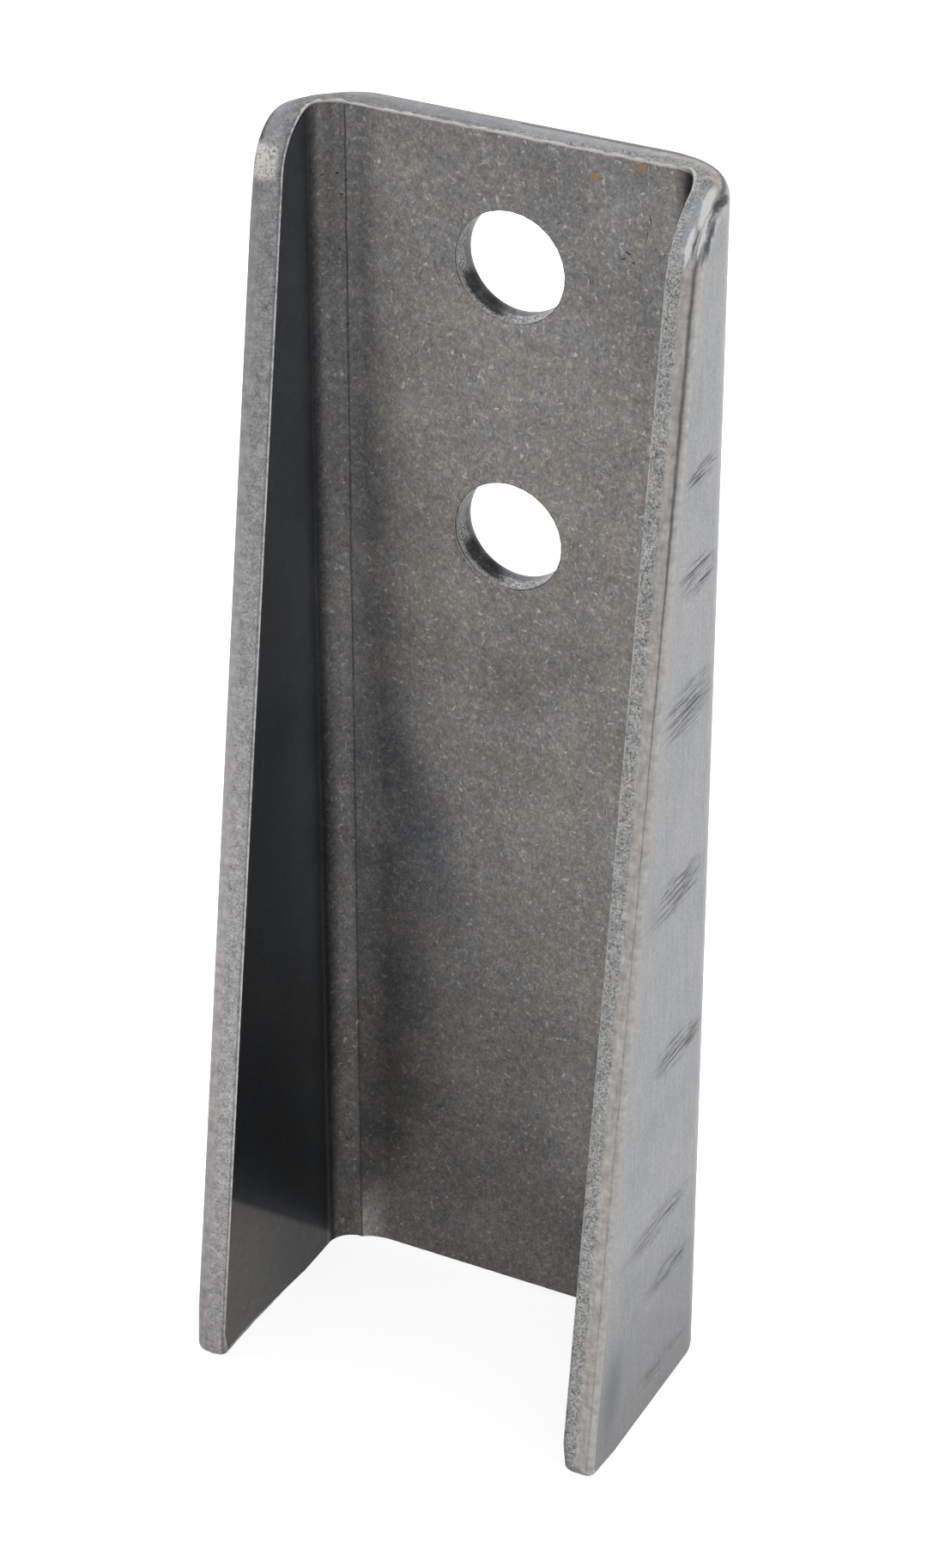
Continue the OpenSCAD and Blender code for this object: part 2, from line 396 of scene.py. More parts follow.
        # The crushed folds are duller than the flats
        gloss = node("MapRange", (clouds, 0.35, 0.65, self.roughness - 0.03, self.roughness + 0.04))
        in_fold = node("Math", (node("Math", (out, self.flat_half * MM), operation="GREATER_THAN"),
                                node("Math", (y, self.fold_y * MM), operation="GREATER_THAN")), **TIMES)
        bump = node("Bump", {"Height": relief, "Distance": 0.03 * MM,
                             "Strength": node("MapRange", (on_flange, 0.0, 0.75, 0.45, 0.1))})
        return node("BsdfPrincipled", {
            "Base Color": colour, "Metallic": 1.0, "Specular Tint": self.edge_tint, "Normal": bump,
            "Roughness": node("Math", (in_fold, self.fold_rough, gloss), **TIMES_PLUS)})


@dataclass(frozen=True)
class OuterFace(Finish):
    """The same sheet's outer face: paler and bluer, with faint upright streaks from rolling.

    The bending die has left rows of short level scuffs across the flanges.
    """

    lean: float
    front: float
    name: str = "cold_rolled_steel_outer_face"
    dark: str = "#8f9194"
    light: str = "#a1a1a3"
    scuff: str = "#36373a"
    dark_patch_colour: str = "#5f6267"
    # Tint of the painted reflection beside the front edges
    warm: str = "#a09e9b"
    roughness: float = 0.34
    streak_mm: float = 0.45
    cloud_mm: float = 7.0
    speck_mm: float = 0.35
    line_mm: float = 0.14
    gap_mm: float = 0.5
    # How much of the tone the clouds have, and how deep a scuff is against the streaks
    cloud_share: float = 0.55
    scuff_depth: float = 1.5
    scuffs: Marks = tuple(Mark((x, y, z), (1.0, long, high), (turn, 0.0, 0.0)) for (
        x, y, z, long, high, turn) in (
        (20.5, 4.6, 94.4, 3.8, 1.4, 2.0), (20.5, 4.0, 84.9, 4.8, 2.2, -3.0),
        (20.5, 2.8, 72.8, 6.4, 3.4, 2.0), (20.5, 1.6, 54.9, 7.0, 2.6, 0.0),
        (20.5, 2.9, 37.9, 6.4, 2.3, -3.0), (20.5, -0.6, 20.6, 8.6, 2.0, 4.0),
        (20.5, 2.2, 13.6, 6.0, 1.6, 0.0), (20.5, 0.6, 3.7, 7.4, 1.2, 0.0),
        (-20.5, 3.2, 88.0, 4.2, 1.4, 3.0), (-20.5, 0.6, 58.5, 6.0, 1.8, -2.0),
        (-20.5, -0.6, 27.0, 7.4, 1.6, 4.0)))
    dark_patches: Marks = marks((20.5, -9.2, 6.8, 2.0, 3.2, 7.0, -8.0, 0.0, 0.0))

    def shader(self, node: NodeMaker, place: NodeSocket) -> Node:
        """Adds the finish's nodes and returns the shader."""
        _, y, z = node("SeparateXYZ", (place,)).outputs
        streaks = node("TexNoise", (node("Mapping", {"Vector": place, "Scale": (1.0, 1.0, 0.1)}),
                                    repeats(self.streak_mm), 3.0, 0.6))
        clouds = node("TexNoise", (place, repeats(self.cloud_mm), 5.0, 0.62))
        tone = node("Math", (streaks, 1 - self.cloud_share, node(
            "Math", (clouds, self.cloud_share), **TIMES)), **TIMES_PLUS)
        colour = node("Mix", (node("MapRange", (tone, 0.36, 0.62)), self.dark, self.light),
                      **BLEND)
        # Painted reflection: a warm lighter band beside the slanted front edges
        inward = node("VectorMath", (place, (0.0, math.cos(self.lean), -math.sin(self.lean))),
                      operation="DOT_PRODUCT")
        beside = node("MapRange", (inward, (self.front + 0.4) * MM, (self.front + 2.4) * MM, 0.8, 0.0))
        painted_reflection = node("Math", (beside, node("MapRange", (clouds, 0.3, 0.6, 0.35, 1.0))), **TIMES)
        colour = node("Mix", (painted_reflection, colour, self.warm), **BLEND)
        # A little darker towards the feet, finely speckled, and darker in one patch by the right foot
        specks = node("TexNoise", (place, repeats(self.speck_mm), 3.0, 0.7))
        for gain in (node("MapRange", (z, 0.0, 22.0 * MM, 0.56, 1.0)),
                     node("MapRange", (specks, 0.3, 0.7, 0.82, 1.14))):
            colour = node("Mix", (1.0, colour, gain), **GAIN)
        in_dark_patch = node("Math", (patches(node, place, self.dark_patches, 0.9), 0.8), **TIMES)
        colour = node("Mix", (in_dark_patch, colour, self.dark_patch_colour), **BLEND)
        # Scuffs: lines drawn along Y, cut to length by a slower noise, kept to the marked patches
        lines = node("TexNoise", (node("Mapping", {
            "Vector": place, "Scale": (0.2, 0.03, 1.0), "Rotation": (math.radians(-2.0), 0.0, 0.0)}),
            repeats(self.line_mm), 2.0, 0.7))
        gaps = node("TexNoise", (node("Mapping", {"Vector": place, "Scale": (0.2, 0.12, 1.0)}),
                                 repeats(self.gap_mm), 3.0))
        # The die pressed hardest beside the fold
        scored = node("MapRange", (y, -5.0 * MM, 6.0 * MM, 0.4, 1.3))
        for part in (patches(node, place, self.scuffs, 0.6), node("MapRange", (lines, 0.46, 0.55)),
                     node("MapRange", (gaps, 0.34, 0.5))):
            scored = node("Math", (scored, part), **TIMES)
        shown = node("Math", (scored, 0.95), **TIMES)
        colour = node("Mix", (shown, colour, self.scuff), **BLEND)
        bump = node("Bump", {"Strength": 0.35, "Distance": 0.02 * MM, "Height": node(
            "Math", (scored, -self.scuff_depth, streaks), **TIMES_PLUS)})
        return node("BsdfPrincipled", {
            "Base Color": colour, "Metallic": 1.0, "Roughness": self.roughness, "Normal": bump})


@dataclass(frozen=True)
class ShearedEdge(Finish):
    """Sheared steel, seen in bands by depth below the outer face.

    The rolled rim and the burnished band under it are smooth and faintly warm. Below them the
    metal has torn and shows a bluish grain of pale and dark specks up to a thin bright burr.
    """

    name: str = "sheared_steel_edge"
    rolled: str = "#a9a8a6"
    smooth: tuple[str, str] = ("#9a9794", "#b2aeab")
    torn: tuple[str, str] = ("#58585a", "#bcbbba")
    burr: str = "#d8d5d1"
    line: str = "#4b4b4d"
    painted_highlight: str = "#d9d5d0"
    painted_shade: str = "#45484d"
    blue: str = "#9aa0a8"
    # Depth at which the metal starts to tear on the left and on the right, and how far it wanders
    tear_mm: Pair = (1.0, 1.6)
    wander_mm: float = 1.1
    line_mm: float = 0.55
    line_wander_mm: float = 0.25
    line_strength: float = 0.8
    speck_mm: float = 0.2
    blotch_mm: float = 0.8
    uneven_mm: float = 2.2
    # How even the left edge has torn, and how dark the painted shade line beside its burr is
    calm: float = 0.4
    roughness: float = 0.4
    # Painted shade and light: the gain of red, green and blue from one level to another along one
    # axis, where X is below gain_x
    gain_axis: str = "Z"
    gain_span: Pair = (15.0, 105.0)
    gains: tuple[Triple, ...] = ((1.37, 1.37, 1.4), (0.77, 0.785, 0.82))
    gain_x: float = 0.0
    # Patches of painted highlight on the rolled rims of the top corners
    bright: Marks = marks(
        (19.4, 6.6, 116.9, 0.5, 2.6, 0.9, 30.0, 0.0, 6.0),
        (19.08, 4.1, 114.4, 0.3, 2.0, 0.9, 58.0, 0.0, 0.0),
        (20.0, 4.9, 115.3, 0.2, 2.6, 0.9, 49.0, 0.0, 0.0), (-19.9, 3.4, 114.5, 5.0, 3.0, 1.8))
    # Patches of painted shade on the rolled rims of the top corners
    dark: Marks = marks(
        (20.2, 7.3, 116.8, 0.32, 2.9, 1.0, 25.0, 0.0, -8.0),
        (20.4, 4.9, 114.6, 0.24, 2.8, 0.9, 55.0, 0.0, 0.0),
        (19.53, 4.3, 114.8, 0.11, 1.9, 0.8, 53.0, 0.0, 0.0),
        (-20.35, 5.0, 116.2, 0.55, 4.0, 1.3, 42.0, 0.0, 0.0))
    steely: Marks = marks(
        (19.0, 5.6, 116.0, 2.4, 4.6, 2.0, 45.0, 0.0, 0.0),
        (-19.4, 6.6, 117.2, 1.0, 3.6, 1.2, 28.0, 0.0, 0.0), (0.0, 11.3, 118.3, 17.0, 0.9, 0.8))

    def shader(self, node: NodeMaker, place: NodeSocket) -> Node:
        """Adds the finish's nodes and returns the shader."""
        axes = node("SeparateXYZ", (place,)).outputs
        x, _, z = axes
        depth = node("Attribute", attribute_name="depth").outputs["Fac"]
        specks, grain, uneven = (node("TexNoise", (place, repeats(size), detail, rough)) for (
            size, detail, rough) in ((self.speck_mm, 2.0, 0.6), (self.blotch_mm, 4.0, 0.6),
                                     (self.uneven_mm, 4.0, 0.65)))
        streaks = node("TexNoise", (
            node("Mapping", {"Vector": place, "Scale": (1.0, 1.0, 0.08)}), repeats(0.3), 2.0))
        streaked = node("MapRange", (node("Math", (streaks, grain), operation="ADD"), 0.75, 1.25))
        smooth = node("Mix", (streaked, *self.smooth), **BLEND)
        speckled = node("MapRange", (node("Math", (specks, 0.75, node(
            "Math", (grain, 0.25), **TIMES)), **TIMES_PLUS), 0.3, 0.64))
        torn = node("Mix", (speckled, *self.torn), **BLEND)
        # The left flange has torn more evenly than the right one
        middle = (-5.0 * MM, 5.0 * MM)
        fracture = node("Mix", (node("MapRange", (x, *middle, self.calm, 0.0)), torn, smooth), **BLEND)
        # The bands' borders wander with the uneven noise, whose mean of about 0.4 is made up for
        tear = node("MapRange", (x, *middle, *(level + 0.42 for level in self.tear_mm)))
        wandering = node("Math", (uneven, self.wander_mm, depth), **TIMES_PLUS)
        is_torn = node("MapRange", (node("Math", (wandering, tear), **MINUS), 0.0, 0.3))
        is_rolled = node("MapRange", (depth, self.line_mm, self.line_mm - 0.2, 0.0, 0.8))
        colour = node("Mix", (is_rolled, smooth, self.rolled), **BLEND)
        colour = node("Mix", (is_torn, colour, fracture), **BLEND)
        # On the right a dark line runs under the rolled rim, broader and stronger towards the top
        off_line = node("Math", (node("Math", (uneven, self.line_wander_mm, depth), **TIMES_PLUS),
                                 self.line_mm + self.line_wander_mm / 2), **MINUS)
        on_right = node("Math", (x, 0.0), operation="GREATER_THAN")
        lined = node("MapRange", (
            node("Math", (off_line,), **SIZE),
            node("MapRange", (z, 80.0 * MM, 98.0 * MM, 0.12, 0.3)), 0.03, 0.0, self.line_strength))
        for limit in (on_right, node("MapRange", (z, 60.0 * MM, 90.0 * MM, 0.3, 1.0))):
            lined = node("Math", (lined, limit), **TIMES)
        colour = node("Mix", (lined, colour, self.line), **BLEND)
        # Blotches drawn out across the edge soil all of it
        blotches = node("TexNoise", (
            node("Mapping", {"Vector": place, "Scale": (1.0, 1.0, 1.3)}),
            repeats(self.blotch_mm), 4.0, 0.65))
        soil = node("MapRange", (blotches, 0.32, 0.68, 0.8, 1.15))
        colour = node("Mix", (1.0, colour, soil), **GAIN)
        # Painted shade and light: darker or lighter along one axis
        along = node("MapRange", (axes[self.gain_axis], *(level * MM for level in self.gain_span)))
        gain = node("Mix", (along, *((*level, 1.0) for level in self.gains)), **BLEND)
        gained = node("Math", (x, self.gain_x * MM), operation="LESS_THAN")
        colour = node("Mix", (gained, colour, gain), **GAIN)
        # The top corners, drawn by the bends, get bluish patches, and painted shade and painted
        # highlights on their rims
        ragged = node("VectorMath", (node("VectorMath", (grain.outputs["Color"], (0.5, 0.5, 0.5)),
                                          **MINUS), [0.6 * MM] * 3, place),
                      **TIMES_PLUS)
        above_burr = node("MapRange", (depth, 2.5, 2.1, 0.0, 0.85))
        # The blue lies thinner on the peaks of the grain
        blued = node("Math", (above_burr, node("MapRange", (grain, 0.4, 0.6, 1.0, 0.35))),
                     **TIMES)
        # The painted highlight on the left corner lies only on its high spots
        spots = node("Math", (node("MapRange", (specks, 0.36, 0.52, 0.15, 0.95)), node(
            "Math", (on_right, 0.85), **TIMES)), operation="MAXIMUM")
        on_spots = node("Math", (spots, above_burr), **TIMES)
        masks = [(patches(node, ragged, group, soft), reach, tone) for group, soft, reach, tone in (
            (self.steely, 0.6, blued, self.blue), (self.dark, 0.6, above_burr, self.painted_shade),
            (self.bright, 0.4, on_spots, self.painted_highlight)) if group]
        # A thin line of painted shade beside the left burr, and the burr, thin down the flanges and
        # broad on top
        beside = node("MapRange", (node("Math", (node("Math", (depth, 2.74), **MINUS),),
                                        **SIZE), 0.12, 0.06, 0.0, self.calm))
        masks.append((beside, node("Math", (x, -16.0 * MM), operation="LESS_THAN"), self.painted_shade))
        swollen = node("Math", (node("MapRange", (z, 117.2 * MM, 117.8 * MM, 0.0, 0.3)), node(
            "MapRange", (uneven, 0.35, 0.65)), depth), **TIMES_PLUS)
        masks.append((node("MapRange", (swollen, 2.84, 2.94, 0.0, 0.8)),
                      node("MapRange", (grain, 0.38, 0.55, 0.25, 1.0)), self.burr))
        for mask, reach, tone in masks:
            share = node("Math", (mask, reach), **TIMES)
            colour = node("Mix", (share, colour, tone), **BLEND)
        bump = node("Bump", {"Height": node("Math", (specks, is_torn), **TIMES),
                             "Strength": 0.6, "Distance": 0.06 * MM})
        return node("BsdfPrincipled", {
            "Base Color": colour, "Metallic": 1.0, "Normal": bump, "Roughness": node(
                "MapRange", (is_torn, 0.0, 1.0, self.roughness - 0.06, self.roughness + 0.08))})


def seen(node: NodeMaker) -> tuple[NodeSocket, Node]:
    """Says for the background whether a ray sees it: straight, and in gloss or glass."""
    path = node("LightPath").outputs
    gloss = node("Math", (path["Is Glossy Ray"], path["Is Transmission Ray"]), operation="MAXIMUM")
    return path["Is Camera Ray"], gloss


@dataclass(frozen=True)
class PaperSweep(Finish):
    """Matt white paper that glows a little, so that it shows as white to the camera."""

    name: str = "white_paper_sweep"
    paper: str = "#ececec"
    glow_straight: float = 0.8
    glow_in_gloss: float = 0.22

    def shader(self, node: NodeMaker, place: NodeSocket) -> Node:
        """Adds the finish's nodes and returns the shader."""
        straight, gloss = seen(node)
        glow = node("Math", (gloss, self.glow_in_gloss, node(
            "Math", (straight, self.glow_straight), **TIMES)), **TIMES_PLUS)
        return node("AddShader", (node("BsdfDiffuse", {"Color": self.paper}),
                                  node("Emission", {"Strength": glow})))


class Outline:
    """A closed outline in the flat sheet, traced by running one vertex along lines and arcs."""

    def __init__(self, bm: BMesh, start: Pair, pitch: float) -> None:
        """Starts the outline at a point, with vertices about pitch apart."""
        self.bm = bm
        self.pitch = pitch
        self.tip = bm.verts.new((*start, 0.0))

    def _run(self, length: float, move: Vector, angle: float, centre: Vector) -> None:
        """Sweeps the tip along one stretch of this length, by a move and a turn about a centre."""
        steps = max(2, round(length / self.pitch))
        swept = bmesh.ops.spin(self.bm, geom=[self.tip], steps=steps, axis=(0.0, 0.0, 1.0),
                               dvec=move / steps, angle=angle, cent=centre)
        self.tip = next(g for g in swept["geom_last"] if isinstance(g, BMVert))

    def line(self, end: Pair) -> None:
        """Runs straight to a point."""
        move = Vector((*end, 0.0)) - self.tip.co
        self._run(move.length, move, 0.0, Vector())

    def arc(self, centre: Pair, degrees: float) -> None:
        """Turns about a centre, anticlockwise where degrees is positive."""
        middle = Vector((*centre, 0.0))
        angle = math.radians(degrees)
        self._run(abs(angle) * (self.tip.co - middle).length, Vector(), angle, middle)

    def close(self) -> list[BMEdge]:
        """Joins the end to the start and returns the outline's edges."""
        bmesh.ops.remove_doubles(self.bm, verts=self.bm.verts[:], dist=0.01)
        return self.bm.edges[:]


@dataclass(frozen=True)
class EdgeRow:
    """One row of vertices round a cut edge.

    inset and depth place it inside the cut and below the outer face. rim and drop add that many
    times the width and the depth of the rolled rim there. grain is how rough the row is.
    """

    inset: float
    depth: float
    rim: float = 0.0
    drop: float = 0.0
    grain: float = 0.0


@dataclass
class FoldedSheet:
    """The blanked, punched and folded steel sheet."""

    back_y: float
    thickness: float = 3.0
    bend_radius: float = 2.4
    bend_steps: int = 22
    width: float = 41.2
    height: float = 118.35
    web_rise: float = 0.7
    relief_radius: float = 8.0
    foot_depth: float = 26.15
    top_depth: float = 9.0
    left_corner: float = 5.5
    right_corner: float = 8.5
    foot_corner: float = 1.1
    # Radius to which the tips of the feet are worn on the inner side, and its height
    worn: float = 1.0
    worn_height: float = 3.2
    hole_radius: float = 5.0
    hole_sides: int = 128
    hole_x: float = 0.2
    hole_heights: Pair = (106.3, 80.9)
    # Width and depth of the rolled rim of a hole
    hole_roll: Pair = (0.35, 0.3)
    edge_pitch: float = 0.3
    # Depth at which the fracture starts, its roughness, and how far it opens inwards
    edge_cut: Triple = (1.3, 0.06, 0.02)
    hole_cut: Triple = (1.2, 0.06, 0.12)
    burr: float = 0.03
    # Left and right: how far a bend draws the outer fibres down and the inner ones up, and how far
    # below the top edge
    sink: Pair = (0.72, 0.55)
    bulge: Pair = (0.08, 0.35)
    drawn_height: float = 5.0
    sheared: ShearedEdge = ShearedEdge()
    # The punched walls carry painted shade and light: a gain from dark on the left of the holes to
    # light on the right, patches of painted shade in the left walls and one small painted highlight
    punched: ShearedEdge = ShearedEdge(
        name="punched_steel_hole", rolled="#9b9b9d", smooth=("#58595c", "#7b7c80"),
        torn=("#1d1e20", "#c4c4c5"), tear_mm=(1.3, 1.3), line_strength=0.0, burr="#a5a3a0",
        roughness=0.36, gain_axis="X", gain_span=(-4.8, 3.0), gains=((0.55,) * 3, (1.3,) * 3),
        gain_x=20.0,
        bright=marks((-5.0, 10.1, 106.0, 0.5, 0.6, 0.8)), painted_highlight="#c9c9ca",
        dark=marks((-4.2, 10.9, 103.4, 1.7, 2.6, 1.9), (-2.6, 10.9, 101.9, 2.8, 2.6, 1.9),
                   (-4.1, 10.9, 77.8, 1.7, 2.6, 1.9), (-2.5, 10.9, 76.5, 2.6, 2.6, 1.9)),
        painted_shade="#0c0d0e", calm=0.0, steely=())

    def __post_init__(self) -> None:
        """Works out the sizes that follow from the others."""
        self.outer_radius = self.bend_radius + self.thickness
        self.bend_y = self.back_y - self.outer_radius
        self.half_width = self.width / 2
        self.flat_half = self.half_width - self.outer_radius
        self.bend_run = math.pi / 2 * (self.bend_radius + self.thickness / 2)
        self.lean = math.atan((self.foot_depth - self.top_depth) / self.height)
        self.mill = MillFace(self.flat_half, self.bend_y, self.height)
        self.outer = OuterFace(self.lean, (self.back_y - self.foot_depth) * math.cos(self.lean))

    def front(self, height: float) -> float:
        """Distance in the flat from the sheet's middle to the slanted front edge at a height."""
        forward = self.foot_depth - math.tan(self.lean) * height
        return self.flat_half + self.bend_run + forward - self.outer_radius

    def corner(self, radius: float, level: float, side: int) -> Pair:
        """Centre of an arc that touches the slanted edge and a level over it, under it for -1."""
        height = level - side * radius
        return self.front(height) - radius / math.cos(self.lean), height

    def fold(self, place: Vector) -> Vector:
        """Carries a point of the flat sheet to its place in the folded one.

        Args:
            place: distance across, height and depth below the outer face.

        Returns:
            The point in the bracket's frame.
        """
        across, height, depth = place
        side = 1 if across >= 0 else -1
        run = abs(across) - self.flat_half
        if run <= 0:
            return Vector((across, self.back_y - depth, height))
        if run < self.bend_run:
            angle = run / self.bend_run * math.pi / 2
            radius = self.outer_radius - depth
            return Vector((side * (self.flat_half + radius * math.sin(angle)),
                           self.bend_y + radius * math.cos(angle), height))
        return Vector((side * (self.half_width - depth), self.bend_y - (run - self.bend_run), height))

    def trace(self, bm: BMesh) -> list[BMEdge]:
        """Traces the blank's outline anticlockwise from the middle of its lower edge."""
        ease = math.acos(1 - self.web_rise / self.relief_radius)
        run = self.flat_half - self.relief_radius * math.sin(ease)
        ease, lean = math.degrees(ease), math.degrees(self.lean)
        foot = self.corner(self.foot_corner, 0.0, -1)
        right = self.corner(self.right_corner, self.height, 1)
        left = self.corner(self.left_corner, self.height, 1)
        across, up = math.cos(self.lean), math.sin(self.lean)
        outline = Outline(bm, (0.0, self.web_rise), self.edge_pitch)
        outline.line((run, self.web_rise))
        outline.arc((run, self.web_rise - self.relief_radius), -ease)
        outline.line((foot[0], 0.0))
        outline.arc(foot, 90 + lean)
        outline.line((right[0] + self.right_corner * across, right[1] + self.right_corner * up))
        outline.arc(right, 90 - lean)
        outline.line((-left[0], self.height))
        outline.arc((-left[0], left[1]), 90 - lean)
        outline.line((-foot[0] - self.foot_corner * across, foot[1] + self.foot_corner * up))
        outline.arc((-foot[0], foot[1]), 90 + lean)
        outline.line((-self.flat_half, 0.0))
        outline.arc((-run, self.web_rise - self.relief_radius), -ease)
        outline.line((0.0, self.web_rise))
        return outline.close()

    def roll_at(self, place: Vector) -> Pair:
        """Width and depth of the rolled rim at a point of the flat outline.

        It is slight along most edges, full down the front of the right flange and widest round
        the two top corners and the tips of the feet.
        """
        level = clamped((place.y - 1.0) / 4.0)
        right = level * clamped((place.x - 17.0) / 3.0)
        corner = max(0.0, 1 - (self.height - place.y) / 9.0) * clamped((abs(place.x) - 16.0) / 3.0)
        tip = max(0.0, 1 - math.hypot(abs(place.x) - self.front(0.0), place.y) / 5.0)
        return (0.18 + 0.17 * level + 0.1 * right + 0.6 * corner + 0.6 * tip,
                0.14 + 0.06 * level + 0.2 * right + 0.35 * corner + 0.9 * tip)

    def measure(self, bm: BMesh, edges: list[BMEdge],
                centre: Vector | None = None) -> None:
        """Writes on each vertex of a cut its place, which way it faces and how far round it is.

        Args:
            bm: the sheet.
            edges: the closed loop of the cut.
            centre: the middle of a hole, or None for the outline.
        """
        loop = [edges[0].verts[0]]
        step = loop[0].link_edges[0]
        while (following := step.other_vert(loop[-1])) is not loop[0]:
            loop.append(following)
            step = next(e for e in following.link_edges if e is not step)
        if sum(a.co.x * b.co.y - b.co.x * a.co.y for a, b in zip(loop, loop[1:] + loop[:1])) < 0:
            loop.reverse()
        travelled = 0.0
        for before, here, after in zip(loop[-1:] + loop[:-1], loop, loop[1:] + loop[:1]):
            if centre is None:
                tangent = (after.co - before.co).normalized()
                facing, roll = Vector((tangent.y, -tangent.x)), self.roll_at(here.co)
            else:
                facing, roll = (centre - here.co).normalized(), self.hole_roll
            for name, value in zip(LAYERS, (*here.co.xy, *facing.xy, travelled, *roll)):
                here[bm.verts.layers.float[name]] = value
            travelled += (after.co - here.co).length

    def place_row(self, bm: BMesh, verts: list[BMVert], row: EdgeRow) -> None:
        """Moves a ring of vertices to its row of the cut edge."""
        layers = [bm.verts.layers.float[name] for name in LAYERS]
        for vert in verts:
            x, y, facing_x, facing_y, along, wide, deep = (vert[layer] for layer in layers)
            inset = row.inset + row.rim * wide
            depth = row.depth + row.drop * deep
            if row.grain:
                inset += row.grain * noise.noise(Vector((along * 1.9, depth * 1.6, 3.0)))
                inset += row.grain * 0.6 * noise.noise(Vector((along * 4.3, depth * 3.6, 9.0)))
            worn = self.worn * max(0.0, 1 - y / self.worn_height) * clamped(abs(x) / 10.0 - 2.6)
            within = depth - (self.thickness - worn)
            if worn > 0.05 and within > 0.0:
                inset += worn - math.sqrt(max(0.0, worn ** 2 - min(within, worn) ** 2))
            vert.co = (x - facing_x * inset, y - facing_y * inset, depth)

    def edge_rows(self, sheared: float, grain: float, flare: float) -> list[EdgeRow]:
        """Rows of a cut edge: rolled rim, burnished band, torn fracture and burr.

        Args:
            sheared: depth at which the fracture starts.
            grain: roughness of the fracture.
            flare: how far the fracture opens towards the inner face.

        Returns:
            The rows from the outer face inwards.
        """
        rows = [EdgeRow(inset, 0.0, rim=1.0) for inset in (0.3, 0.1, 0.0)]
        for angle in (math.radians(15 * step) for step in range(1, 7)):
            rows.append(EdgeRow(0.0, 0.0, rim=1 - math.sin(angle), drop=1 - math.cos(angle)))
        rows.append(EdgeRow(0.0, sheared))
        for share in (step / 6 for step in range(1, 7)):
            rows.append(EdgeRow(flare * share, sheared + (self.thickness - sheared) * share,
                                grain=grain if share < 1 else grain / 2))
        rows.append(EdgeRow(flare + 0.1, self.thickness + self.burr))
        return rows + [EdgeRow(flare + inset, self.thickness) for inset in (0.22, 0.4)]

    def cut_edge(self, bm: BMesh, edges: list[BMEdge], rows: list[EdgeRow],
                 zone: Zone) -> list[BMEdge]:
        """Runs the rows of a cut edge down from the outer face to the inner one.

        Args:
            bm: the sheet.
            edges: the measured loop, which becomes the first row.
            rows: the rows in order.
            zone: the finish of the cut.

        Returns:
            The edges of the last row.
        """
        self.place_row(bm, list({v for e in edges for v in e.verts}), rows[0])
        for row in rows[1:]:
            made = bmesh.ops.extrude_edge_only(bm, edges=edges)["geom"]
            verts = {g for g in made if isinstance(g, BMVert)}
            edges = [g for g in made if isinstance(g, BMEdge) and set(g.verts) <= verts]
            on_face = Zone.OUTER_FACE if row.depth <= 0.0 and row.drop == 0.0 else zone
            if row.inset > 0.1 and row.depth >= self.thickness:
                on_face = Zone.INNER_FACE
            for face in (g for g in made if isinstance(g, BMFace)):
                face.material_index = on_face.value
            self.place_row(bm, list(verts), row)
        return edges

    def draw_at_bend(self, place: Vector) -> Vector:
        """Pulls the outer fibres in and pushes the inner ones out where the bends meet the top."""
        across, height, depth = place
        run = (abs(across) - self.flat_half) / self.bend_run
        near = max(0.0, 1 - (self.height - height) / self.drawn_height)
        if -0.3 < run < 1.5 and near > 0:
            swell = math.sin(math.pi * (run + 0.3) / 1.8) ** 2 * near * near
            inward = depth / (self.thickness / 2) - 1
            drawn = self.bulge if inward > 0 else self.sink
            height += swell * drawn[int(across > 0)] * inward
        return Vector((across, height, depth))

    def cut_planes(self, bm: BMesh) -> None:
        """Cuts lines across the flat sheet, close together where it bends and wide apart elsewhere."""
        count = self.bend_steps
        offsets = [self.flat_half + self.bend_run * k / count for k in range(count + 1)]
        lines = [((side * x, 0.0, 0.0), (1.0, 0.0, 0.0)) for x in offsets for side in (-1, 1)]
        lines += [((float(x), 0.0, 0.0), (1.0, 0.0, 0.0)) for x in range(-12, 13, 4)]
        lines += [((0.0, float(y), 0.0), (0.0, 1.0, 0.0)) for y in range(2, 118, 4)]
        for place, normal in lines:
            bmesh.ops.bisect_plane(bm, geom=bm.verts[:] + bm.edges[:] + bm.faces[:], dist=1e-4,
                                   plane_co=place, plane_no=normal)

    def build(self) -> Object:
        """Builds the sheet, folds it and dresses it.

        Returns:
            The finished object, in metres.
        """
        bm = bmesh.new()
        for name in LAYERS:
            bm.verts.layers.float.new(name)
        outline = self.trace(bm)
        self.measure(bm, outline)
        holes = []
        for height in self.hole_heights:
            centre = Vector((self.hole_x, height, 0.0))
            made = bmesh.ops.create_circle(bm, cap_ends=False, radius=self.hole_radius,
                                           segments=self.hole_sides)
            bmesh.ops.translate(bm, verts=made["verts"], vec=centre)
            holes.append(list({e for v in made["verts"] for e in v.link_edges}))
            self.measure(bm, holes[-1], centre)
        starts = [e for loop in [outline] + holes for e in loop]
        ends = self.cut_edge(bm, outline, self.edge_rows(*self.edge_cut), Zone.SHEARED_EDGE)
        for loop in holes:
            ends += self.cut_edge(bm, loop, self.edge_rows(*self.hole_cut), Zone.PUNCHED_WALL)
        for loop, zone in ((starts, Zone.OUTER_FACE), (ends, Zone.INNER_FACE)):
            filled = bmesh.ops.triangle_fill(bm, use_beauty=True, use_dissolve=False, edges=loop,
                                             normal=(0.0, 0.0, 1.0))
            for face in (g for g in filled["geom"] if isinstance(g, BMFace)):
                face.material_index = zone.value
        self.cut_planes(bm)
        for name in LAYERS:
            bm.verts.layers.float.remove(bm.verts.layers.float[name])
        depth = bm.verts.layers.float.new("depth")
        for vert in bm.verts:
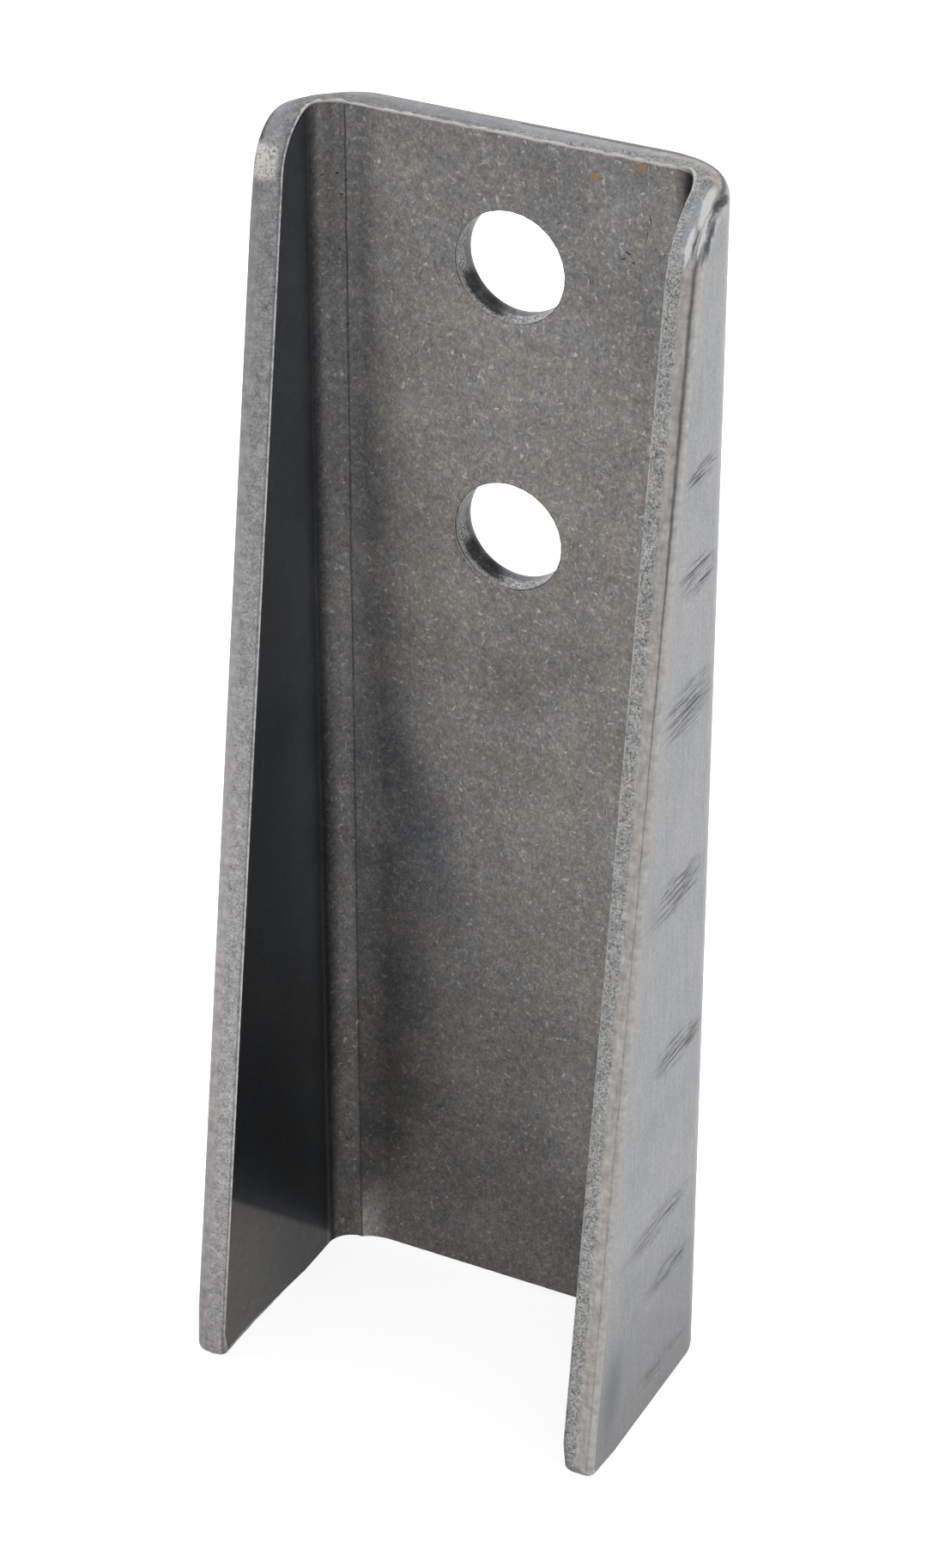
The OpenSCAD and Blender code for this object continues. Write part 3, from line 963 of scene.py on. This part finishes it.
            vert[depth] = vert.co.z
            vert.co = self.fold(self.draw_at_bend(vert.co))
        bmesh.ops.scale(bm, vec=(MM, MM, MM), verts=bm.verts)
        bmesh.ops.recalc_face_normals(bm, faces=bm.faces)
        for face in bm.faces:
            face.smooth = True
        mesh = bpy.data.meshes.new("folded_sheet")
        bm.to_mesh(mesh)
        bm.free()
        for finish in (self.mill, self.outer, self.sheared, self.punched):
            mesh.materials.append(finish.material())
        return put("folded_sheet", mesh)


@dataclass
class Studio:
    """Pale floor, one soft lamp, an even white surround and the camera."""

    stand: Triple = (147.959, -288.079, 257.147)
    yaw: float = 27.0462
    pitch: float = 31.1863
    lens: float = 99.553
    sensor: float = 36.0
    floor_half: float = 4000.0
    surround: float = 0.4
    lamp_place: Triple = (1443.0, 1395.0, 1806.0)
    lamp_aim: Triple = (0.0, 0.0, 40.0)
    lamp_size: float = 480.0
    lamp_power: float = 62.0

    def aim(self, made: Object, place: Triple, view: Vector) -> None:
        """Stands a lamp or a camera at a place in millimetres, and faces it along a direction."""
        made.location = Vector(place) * MM
        made.rotation_euler = view.to_track_quat("-Z", "Y").to_euler()

    def camera(self) -> None:
        """Sets the camera up at the photograph's viewing angle."""
        data = bpy.data.cameras.new("camera")
        data.sensor_fit, data.sensor_height, data.lens = "VERTICAL", self.sensor, self.lens
        data.clip_start, data.clip_end = 0.01, 20.0
        yaw, pitch = math.radians(self.yaw), math.radians(self.pitch)
        made = put("camera", data)
        self.aim(made, self.stand, Vector((
            -math.sin(yaw) * math.cos(pitch), math.cos(yaw) * math.cos(pitch), -math.sin(pitch))))
        bpy.context.scene.camera = made

    def lamp(self) -> None:
        """Adds the soft square lamp. The metal shows its light and not the lamp itself."""
        data = bpy.data.lights.new("back_softbox", "AREA")
        data.size, data.energy = self.lamp_size * MM, self.lamp_power
        made = put("back_softbox", data)
        self.aim(made, self.lamp_place, Vector(self.lamp_aim) - Vector(self.lamp_place))
        made.visible_glossy = False

    def world(self) -> None:
        """Surrounds the object with an even white, at a plain level."""
        world = bpy.data.worlds.new("studio")
        node = emptied(world)
        whether = node("Math", seen(node), operation="MAXIMUM")
        node("OutputWorld", {"Surface": node("Background", {
            "Color": WHITE, "Strength": node("MapRange", (whether, 0.0, 1.0, self.surround, 1.0))})})
        bpy.context.scene.world = world

    def floor(self) -> None:
        """Lays a white floor that keeps the object's shadow."""
        bm = bmesh.new()
        bmesh.ops.create_grid(bm, x_segments=1, y_segments=1, size=self.floor_half * MM)
        mesh = bpy.data.meshes.new("floor")
        bm.to_mesh(mesh)
        bm.free()
        mesh.materials.append(PaperSweep().material())
        floor = put("floor", mesh)

    def build(self) -> None:
        """Sets up the whole studio."""
        bpy.context.scene.view_settings.view_transform = "Standard"
        self.camera()
        self.world()
        self.floor()
        self.lamp()


def main() -> None:
    """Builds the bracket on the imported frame, then the studio round it."""
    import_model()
    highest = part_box("bracket")[1]
    piece = FoldedSheet(back_y=highest.y / MM).build()
    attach(piece, "root")
    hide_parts("bracket")
    LOG.info("%s: %d faces", piece.name, len(piece.data.polygons))
    Studio().build()


if __name__ == "__main__":
    logging.basicConfig(level=logging.INFO, format="%(name)s: %(message)s")
    main()
